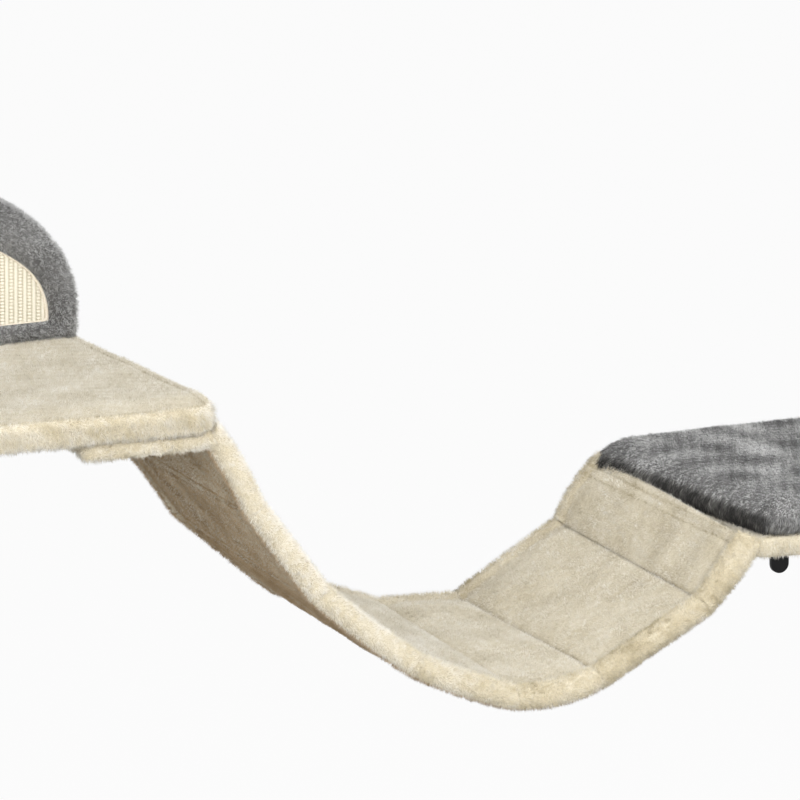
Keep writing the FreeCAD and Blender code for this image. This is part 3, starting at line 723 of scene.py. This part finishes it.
def half_thickness(along, total):
    """Half the bridge's thickness across its width, from the distance to the seams."""
    edge = np.clip(from_edge / ROLL_REACH, 0, 1)
    thick = ROLL * np.sqrt(np.clip(1 - (1 - edge) ** 2, 0, 1))
    past = np.clip((from_edge - ROLL_REACH) / 9, 0, 1)
    thick = np.where(from_edge > ROLL_REACH, ROLL - FIELD_SINK * ease(past), thick)
    plump = ease((from_edge - 22) / 22)
    thick = np.where(from_edge > 22, ROLL - FIELD_SINK + FIELD_PLUMP * plump, thick)
    from_seam = np.minimum(along, total - along)
    border = 1 - ease((from_edge - 15) / 10)
    sink = (1 - border) * 2.5 + border * 0.5
    thick = thick - sink * bell(from_seam, 3.2) - (1 - border) * 1.3 * bell(from_seam, 14)
    return np.clip(thick, 0.4, None)


# %% Panel skins
def flat_unit(v):
    """The direction of v, seen along the bridge's width."""
    return unit(v * [1, 0, 1])


def panel_skin(number):
    """One panel's closed cover, and the board in it, between seams number - 1 and number."""
    y = inset - HALF_WIDTH
    start, end = seam_line(number - 1, y), seam_line(number, y)
    before = seam_line(number - 2, y) if number > 1 else start + np.array([-40.0, 0, 0])
    after = seam_line(number + 1, y) if number < LAST else end + np.array([40.0, 0, 0])
    own = flat_unit(end - start)
    first, last = unit(own + flat_unit(start - before)), unit(own + flat_unit(after - end))
    total = np.linalg.norm(end - start, axis=1).mean()
    middle = np.linspace(TURN_REACH, total - TURN_REACH, 7)
    puff = (WALL_PUFF[number] * inset + FRONT_PUFF[number] * (2 * HALF_WIDTH - inset)) / (2 * HALF_WIDTH)
    field = waves(number, 45, 120)
    rings, boards = [], []
    for s in np.concatenate([FIRST_STEPS, middle, total - LAST_STEPS]):
        t = s / total
        centre = start + (end - start) * t
        near_first, near_last = ease(1 - s / TURN_REACH), ease(1 - (total - s) / TURN_REACH)
        way = first * near_first + last * near_last + own * (1 - near_first - near_last)
        standing = unit(across(unit(way)))
        thick = half_thickness(s, total)
        if number == LAST:
            thick = thick - 1.8 * ease((from_edge - 15) / 8) * bell(total - s - TOP_STITCH, 2.6)
        soft = field(centre) * 0.7 * np.clip(from_edge / 40, 0, 1) * min(1, s / 15, (total - s) / 15)
        centre = centre + standing * (math.sin(math.pi * t) * puff)[:, None]
        top = centre + standing * (thick + soft)[:, None]
        under = centre - standing * (thick * 0.92 + soft)[:, None]
        rings.append(np.concatenate([top, under[::-1][1:-1]]))
        if BOARD_END < s < total - BOARD_END:
            held = from_edge >= BOARD_INSET
            sheet = [(centre + standing * BOARD_HALF)[held], (centre - standing * BOARD_HALF)[held][::-1]]
            boards.append(np.concatenate(sheet))
    cover = skin("bridge_panel_cover_%d" % number, rings, cream_ground)
    board = skin("bridge_panel_board_%d" % number, boards, by_slot["hardboard"], smooth=False)
    return cover, board


panels = {}
for number in range(1, LAST + 1):
    panels[number], board = panel_skin(number)
    dress(board, "bridge_panel_%d" % number, "hardboard", "bridge_board_%d" % number)
    dress(panels[number], "bridge_panel_%d" % number, "cream_plush", "bridge_cover_%d" % number)

# %% [markdown]
# ## Flaps
# At its left end the cover lies flat under the platform and is screwed up into the
# board. At its right end it goes over the platform's edge, under the pad. Both are
# flat pads with a pinched edge, so rings of rounded rectangles serve again.

# %% Flaps
FLAP_CORNER = 9


def flap(name, node, front_back, edge, droop=0.0):
    """A flap's skin, with its front edge lowered by droop mm."""
    low, high = box_mm(node)
    centre = (low + high) / 2
    centre[1] = SEAM_Y
    width, depth, thick = high[0] - low[0], front_back, high[2] - low[2]
    pinch = [(edge * 2.2, 0.0), (edge * 0.9, 0.02), (edge * 0.35, 0.14), (edge * 0.06, 0.34), (0, 0.5),
             (edge * 0.06, 0.66), (edge * 0.35, 0.86), (edge * 0.9, 0.98), (edge * 2.2, 1.0)]
    spread = [min(width, depth) / 2 - 1, min(width, depth) / 3]
    rings = []
    for inward, level in [(i, 0.0) for i in spread] + pinch + [(i, 1.0) for i in reversed(spread)]:
        z = low[2] + level * thick
        ring = rounded_ring(width - 2 * inward, depth - 2 * inward, FLAP_CORNER, centre, z)
        ring[:, 2] -= droop * ease((low[1] + 40 - ring[:, 1]) / 40) * (1.3 - level)
        rings.append(ring)
    return skin(name, rings, cream_ground)


left_flap = flap("left_flap_plush", "left_flap_cover", 340, 6.0, droop=6.5)
dress(left_flap, "wall_fixed", "cream_plush", "left_flap_cover")
right_flap = flap("right_flap_plush", "right_flap_cover", 336, 2.4)
dress(right_flap, "wall_fixed", "cream_plush", "right_flap_cover")

# %% [markdown]
# ## Backrest
# The backrest is a padded arch. Its front is a thick roll round a D-shaped opening,
# like the rim of a basket, and the scratching mat lies in the opening. A curve with
# a bevel could make the roll, but rings that run from the rear, over the roll and
# into the opening give the whole cover in one closed skin.

# %% Arches
ARCH_STEPS = (14, 5, 5, 16, 22)  # along the base, the foot, the straight, the side arc and the top arc


def arch(half_width, base, straight, rise, side_radius, foot=6.0):
    """Points of an arch: along its base from the middle, up its right side and over, then back.

    The top is one large arc, whose centre lies drop below the straights' top. It meets
    the side arcs smoothly, where both stand at the angle turn.
    """
    drop = ((half_width - side_radius) ** 2 - (rise - side_radius) ** 2) / (2 * (rise - side_radius))
    large, turn = rise + drop, math.atan2(drop, half_width - side_radius)
    top = base + straight
    half = []
    for i in range(ARCH_STEPS[0]):
        half.append(((half_width - foot) * i / ARCH_STEPS[0], base))
    for i in range(ARCH_STEPS[1]):
        a = math.pi / 2 * i / ARCH_STEPS[1]
        half.append((half_width - foot + foot * math.sin(a), base + foot - foot * math.cos(a)))
    for i in range(ARCH_STEPS[2]):
        half.append((half_width, base + foot + max(straight - foot, 0.2) * i / ARCH_STEPS[2]))
    for i in range(ARCH_STEPS[3]):
        a = turn * i / ARCH_STEPS[3]
        half.append((half_width - side_radius + side_radius * math.cos(a), top + side_radius * math.sin(a)))
    for i in range(ARCH_STEPS[4] + 1):
        a = turn + (math.pi / 2 - turn) * i / ARCH_STEPS[4]
        half.append((large * math.cos(a), top - drop + large * math.sin(a)))
    mirror = [(-x, z) for x, z in half[1:-1]][::-1]
    return np.array(half + mirror)


# %% Backrest
OPENING_HALF = 124.0
rest_low, rest_high = box_mm("backrest_cover")
mat_low, mat_high = box_mm("scratch_mat")
rest_middle = (rest_low[0] + rest_high[0]) / 2
floor_z = rest_low[2]
outer = arch(half_width=156, base=floor_z + 2, straight=29, rise=rest_high[2] - floor_z - 22, side_radius=110)
inner = arch(half_width=OPENING_HALF, base=mat_low[2], straight=4, rise=mat_high[2] - mat_low[2] - 4,
             side_radius=70, foot=3.5)


def standing_rings(lines):
    """Rings in space from outlines of x and z, each with its distance from the wall."""
    rings = []
    for line, y in lines:
        rings.append(np.stack([line[:, 0] + rest_middle, np.full(len(line), y), line[:, 1]], axis=1))
    return rings


def backrest_skin():
    """Rings from the middle of the rear face, over the rim and the front roll, into the opening."""
    deep = rest_high[1] - rest_low[1]
    centre = np.array([0.0, floor_z + 60])
    lines = [(centre + (outer - centre) * share, -1) for share in (0.25, 0.6, 0.93)]
    lines.append((centre + (outer - centre) * 0.985, -1.6))
    lines += [(outer, y) for y in (-4.5, -9, -15, -21)]
    for i in range(1, 14):
        a = math.pi * i / 14
        share = 0.015 + 0.985 * ((1 - math.cos(a)) / 2)
        lines.append((outer + (inner - outer) * share, -(deep - 13) - 14.5 * math.sin(a) ** 0.8))
    lines.append((inner, -(deep - 16)))
    lines.append((centre + (inner - centre) * 0.97, -(deep - 19)))
    return skin("backrest_plush", standing_rings(lines), grey_ground)


backrest = backrest_skin()
dress(backrest, "wall_fixed", "grey_plush", "backrest_cover")

# %% [markdown]
# The mat's ribs are 5 mm apart. Every second one is a twisted cord, which shows as a
# row of beads 3.4 mm long, and those between are plain. At this size they cast
# shadows of their own, so they are modelled, as heights of a fine grid. The hollows
# between them take a darker tone, painted shade, and a flat tape is sewn over the mat's cut edge.

# %% Scratching mat
RIB, BEAD, RIB_HEIGHT = 5.0, 3.4, 1.9
RIB_FOOT = 1.2  # how far behind the solid's front the ribs' feet lie


def ribs(x, z):
    """How far the ribs stand out, as a share of a rib's height and in mm."""
    rib = x / RIB
    number = np.floor(rib)
    round_rib = np.sqrt(np.clip(1 - (2 * (rib - number) - 1) ** 2, 0, 1))
    beads = 0.72 + 0.28 * np.sin(2 * np.pi * (z / BEAD + 0.35 * np.sin(number * 2.1)))
    plain = 0.66 + 0.05 * np.sin(2 * np.pi * z / (BEAD / 2))
    return round_rib, round_rib * np.where(number % 2 == 0, beads, plain) * RIB_HEIGHT


def ribbed_mat(rows=190, columns=497):
    x = np.linspace(-OPENING_HALF + 0.2, OPENING_HALF - 0.2, columns)
    side = inner[(inner[:, 0] >= 0) & (inner[:, 1] > mat_low[2] + 1)]
    order = np.argsort(-side[:, 0])
    height = np.interp(-np.abs(x), -side[order, 0], side[order, 1]) - mat_low[2]
    z = mat_low[2] + np.linspace(0, 1, rows)[:, None] * height[None]
    grid_x = np.repeat(x[None], rows, axis=0)
    round_rib, proud = ribs(grid_x, z)
    points = np.stack([grid_x + rest_middle, mat_low[1] + RIB_FOOT - proud, z], axis=2).reshape(-1, 3)
    faces = []
    for i in range(rows - 1):
        for j in range(columns - 1):
            a = i * columns + j
            faces.append((a, a + 1, a + columns + 1, a + columns))
    mesh = bpy.data.meshes.new("scratching_mat")
    mesh.from_pydata((points * MM).tolist(), [], faces)
    mesh.materials.append(mat_cord)
    mesh.materials.append(mat_hollow_shade)
    # the hollows between and beside the ribs take the darker cord, as painted shade
    hollow = (proud < RIB_HEIGHT / 2) & (round_rib > 0.25) | (round_rib < 0.35)
    mesh.polygons.foreach_set("material_index", hollow[:-1, :-1].astype(np.int32).ravel())
    mesh.update()
    mesh.shade_smooth()
    return put("scratching_mat", mesh)


def edge_tape():
    centre = np.array([0.0, floor_z + 70])
    section = ((1.0, 1.4), (0.99, 2.3), (0.98, 2.5), (0.97, 2.2), (0.966, 0.8), (0.98, 0.2), (1.0, 0.2))
    lines = []
    for share, proud in section:
        lines.append((centre + (inner - centre) * share, mat_low[1] + RIB_FOOT - proud))
    return skin("mat_edge_tape", standing_rings(lines), mat_tape, closed=True)


dress(ribbed_mat(), "wall_fixed", "sisal", "scratch_mat")
dress(edge_tape(), "wall_fixed", "sisal")

# %% [markdown]
# ## Pad
# The pad is thick and soft. Its foot is drawn in where it rests on the platform, its
# sides are full, and its top is gently crowned. It lies a little askew on the
# platform, as a loose pad does. Blown up cloth would give a pillow, and this pad is
# flat foam in a cover, so its sections are listed one by one.

# %% Pad
PAD_CORNER = 24
PAD_CROWN = 3      # how far the top stands past the solid
WALL_OUT, FRONT_IN = 12, 17  # the left side, at the wall and at the front
FILLING_INSET = 3.5
pad_low, pad_high = box_mm("pad_cover")
# from the middle of the underside round to the middle of the top: how far in, and the level
PAD_SECTION = [(150, 0.0), (110, 0.0), (60, 0.0), (26, 0.0), (14, 0.01), (8, 0.05), (3.5, 0.13), (0.8, 0.25),
               (0, 0.38), (1.2, 0.52), (4.2, 0.67), (9, 0.8), (16, 0.9), (28, 0.96), (50, 0.985), (80, 0.995),
               (115, 1.0), (150, 1.0)]


def pad_skin(name, material, inset_all=0.0):
    """The pad's cover or, inset_all further in, its filling."""
    centre = (pad_low + pad_high) / 2
    width, depth, tall = pad_high - pad_low
    tall = tall + PAD_CROWN
    field = waves(77, 50, 130)
    rings = []
    for inward, level in PAD_SECTION:
        inward = inward * 0.96 + inset_all
        z = pad_low[2] + np.clip(tall * level, inset_all, tall - inset_all)
        ring = rounded_ring(width - 2 * inward, depth - 2 * inward, PAD_CORNER - inward * 0.3, centre, z)
        to_right = (ring[:, 0] - pad_low[0]) / width
        to_front = (pad_high[1] - ring[:, 1]) / depth
        askew = (WALL_OUT + FRONT_IN) * to_front - WALL_OUT
        ring[:, 0] += (1 - ease(to_right)) * askew
        from_left = (ring[:, 0] - pad_low[0] - askew) / 42
        ring[:, 2] -= 8 * level * (1 - ease(from_left)) * (1 - ease(to_front / 0.7))
        if level > 0.9:
            ring[:, 2] += field(ring) * 0.8
        rings.append(ring)
    return skin(name, rings, material)


pad = pad_skin("pad_plush", grey_ground)
dress(pad, "wall_fixed", "grey_plush", "pad_cover")
dress(pad_skin("pad_filling", by_slot["foam"], FILLING_INSET), "wall_fixed", "foam", "pad_foam")

# %% [markdown]
# ## Growing the pile
# Tops have a short nap of about 3 mm, brushed towards the front. The border strips
# are left a little longer, about 5 mm, the fronts of the left platform and its flap
# are fluffy, 5 to 9 mm, and the grey pile is 4 to 8 mm. The long strands stand out
# and make the soft outline. Painted weights could say where each kind grows, but a
# few lines that work it out from the place and the slope are easier to read and set.

# %% Pile on the platforms
def platform_pile(name, ground, node, seed, fluff, top_area=1.7):
    """The nap of a platform's top and sides, its front edge longer by fluff, and of its underside."""
    low, high = box_mm(node)

    def upper(root, up):
        return clear_of_wall(root, up) * (up[:, 2] > -0.2)

    def under(root, up):
        return clear_of_wall(root, up) * (up[:, 2] <= -0.2)

    def tall(root, up):
        side = ease(1 - up[:, 2] / 0.8)
        return 3.0 + fluff * side * (root[:, 1] < low[1] + 25) + 1.5 * side

    # painted shade darkens the sewn line on the top, as in its crease, and the rest is a little lighter
    def painted_shading(root, up):
        inside = np.minimum.reduce([root[:, 0] - low[0], high[0] - root[:, 0], root[:, 1] - low[1]])
        return -0.5 * (bell(inside - 8, 1.5) * (up[:, 2] > 0.8)) + 0.05

    def family(root, up):
        return ease((11 - (root[:, 1] - low[1])) / 4) * (fluff > 3)

    def brushed(root, up):
        down = np.where(np.abs(up[:, 2]) < 0.7, -0.6, 0.0)
        return np.stack([np.full(len(root), -0.35), np.full(len(root), -0.8), down], axis=1)

    grow(name + "_pile", ground, [cream_nap, cream_edge], "wall_fixed", top_area, tall, upper, seed,
         lean=brushed, lie=0.9, tone=painted_shading, contrast=0.6, family=family)
    # the underside's pile takes darker tones, as painted shade
    grow(name + "_under_pile", ground, [cream_nap], "wall_fixed", 4.5, 4.0, under, seed + 1,
         lean=brushed, lie=0.9, tone=-0.1)


# The fluff on the left platform's front is painted lighter, more so towards its right end, where the light falls:
# painted light.
def fluff_painted_light(root, up):
    return 0.3 + 0.15 * ease(root[:, 0] / 150)


def fluff_mask(root, up):
    return ease((-up[:, 1] - 0.25) / 0.3) * clear_of_wall(root, up)


platform_pile("left_platform", left_cover, "left_cover", 11, fluff=4.6)
grow("left_platform_fluff", left_cover, [cream_edge], "wall_fixed", 1.3, 5.2, fluff_mask, 13, thick=0.6,
     lean=(-0.25, 0, -0.9), lie=1.2, gather=1.1, tuft=(8, 18), tone=fluff_painted_light)
platform_pile("right_platform", right_cover, "right_cover", 21, fluff=1.2, top_area=2.6)

# %% Pile on the bridge
# painted light and shade on the border strip: lighter at the left end of the bridge, darker at the right
STRIP_LIGHT_AND_SHADE = [0, 0.35, 0.35, 0.22, 0.08, -0.05, -0.2, -0.15]  # the border strip's, panel by panel


def strip_inset(root):
    """Distance in from the edge. The strip at the wall is narrower, so more is counted there."""
    return HALF_WIDTH - np.abs(root[:, 1] - SEAM_Y) + 7 * (root[:, 1] > SEAM_Y)


def strip_tall(root, up):
    border = 1 - ease((strip_inset(root) - 14) / 9)
    return np.where(up[:, 2] < -0.25, 2.6, 3.4) + 1.7 * border


def strip_brushed(root, up):
    """Brushed to the front and left on the panels, and outward on the strips."""
    border = (1 - ease((strip_inset(root) - 12) / 8))[:, None]
    out = np.stack([np.zeros(len(root)), np.sign(root[:, 1] - SEAM_Y), np.full(len(root), -0.2)], axis=1)
    return np.array([-0.25, -0.8, -0.25]) * (1 - border) + out * border * 0.45


def strip_mask(root, up):
    return 1 - 0.35 * ease((strip_inset(root) - 22) / 6)


def bridge_pile(number):
    """One panel's pile: painted shade in its seams and in the groove beside the border strip, and painted light
    and shade on the strip, panel by panel.
    """
    start, end = seams[number - 1], seams[number]
    way, total = unit(end - start), np.linalg.norm(end - start)
    standing = across(way[None])[0]

    # Painted shade darkens the seams, the last panel's sewn line and the groove beside the border strip; the strip
    # takes its painted light and shade from the list.
    def painted_shading(root, up):
        along = (root - start) @ way
        nearest = np.minimum(np.abs(along), np.abs(total - along))
        panel = ease((strip_inset(root) - 17) / 5)
        groove_shade = bell(strip_inset(root) - 22, 1.6) * 0.08
        line = bell(nearest, 1.5)
        if number == LAST:
            line = line + 1.3 * bell(total - along - TOP_STITCH, 1.6) * (up[:, 2] > 0)
        return -0.42 * panel * line - groove_shade + STRIP_LIGHT_AND_SHADE[number] * (1 - panel) + 0.05 * panel

    def family(root, up):
        """Edge fibre on the strips, nap on the panels, and darker, browner fibres below as painted shade."""
        edge = 1 - ease((strip_inset(root) - 14) / 8)
        rear = ease((0.05 - up @ standing) / 0.3) * ease((strip_inset(root) - 5) / 7)
        return np.where(rear > 0.02, 1 + rear, edge)

    grow("bridge_pile_%d" % number, panels[number], [cream_nap, cream_edge, cream_under_shade],
         "bridge_panel_%d" % number, 1.2, strip_tall, strip_mask, 100 + number, thick=0.5,
         lean=strip_brushed, lie=0.8, stray=0.22, tone=painted_shading, contrast=0.65, family=family)


for number in panels:
    bridge_pile(number)

# %% Pile on the flaps
SHOWN_FROM, SHOWN_TO = 757, 785  # the right flap shows only between the bridge and the pad


def left_flap_mask(root, up):
    return (up[:, 2] < 0.6) * clear_of_wall(root, up)


def right_flap_mask(root, up):
    shown = (root[:, 0] > SHOWN_FROM) * (root[:, 0] < SHOWN_TO)
    return (up[:, 2] > 0.3) * clear_of_wall(root, up) * shown


grow("left_flap_pile", left_flap, [cream_edge], "wall_fixed", 1.5, 5.5, left_flap_mask, 31,
     lean=(-0.3, -0.6, -0.6), lie=0.8, gather=1.0, tuft=(8, 18), tone=0.15)
grow("right_flap_pile", right_flap, [cream_nap], "wall_fixed", 1.9, 3.4, right_flap_mask, 33,
     lean=(-0.3, -0.8, 0), lie=0.8, contrast=0.75)

# %% Pile on the backrest
def rim_front(root, up):
    return ease((-up[:, 1] - 0.25) / 0.5)


def rim_mask(root, up):
    return (up[:, 1] < 0.5) * (root[:, 2] > floor_z + 1)


# The front of the roll takes darker tones than the rim and the top, and some of the darker grey fibres: painted
# shade.
grow("backrest_pile", backrest, [grey_nap, grey_shade_fibre], "wall_fixed", 1.2, 4.4, rim_mask, 41,
     lean=(0.0, -0.2, -0.5), lie=0.5, gather=1.2, tuft=(5, 10), contrast=0.5,
     tone=lambda root, up: 0.24 - 0.16 * rim_front(root, up),
     family=lambda root, up: 0.25 * rim_front(root, up))

# %% Pile on the pad
PAD_DEPTH = 350  # of the platform under it


def pad_side(root, up):
    """1 on the pad's sides, where the strands hang, and 0 on its top."""
    rear = 1 + root[:, 1] / PAD_DEPTH
    steep = ease((0.72 + 0.2 * rear - up[:, 2]) / 0.35)
    return steep * ease((pad_low[2] + 25 + 3 * rear - root[:, 2]) / 5)


def pad_brushed(root, up):
    forward = np.full(len(root), -0.7)
    return np.stack([forward, forward, -1.5 * pad_side(root, up)], axis=1)


def pad_tone(root, up):
    """The left side lies in shade, and the front, turned to the light, is brighter."""
    return pad_side(root, up) * (-0.34 + 0.44 * ease((-up[:, 1] - 0.45) / 0.4))


# The pad's sides take the darker grey fibres as painted shade; the front, turned to the light, only half as many.
def pad_family(root, up):
    return pad_side(root, up) * np.where(up[:, 1] < -0.6, 0.5, 1.0)


def pad_mask(root, up):
    return clear_of_wall(root, up) * (up[:, 2] > -0.75)


grow("pad_pile", pad, [grey_nap, grey_shade_fibre], "wall_fixed", 0.9,
     lambda root, up: 4.6 + 3.0 * pad_side(root, up), pad_mask, 51,
     lean=pad_brushed, lie=1.9, gather=0.5, tuft=(4, 10), tone=pad_tone, contrast=1.2, family=pad_family)
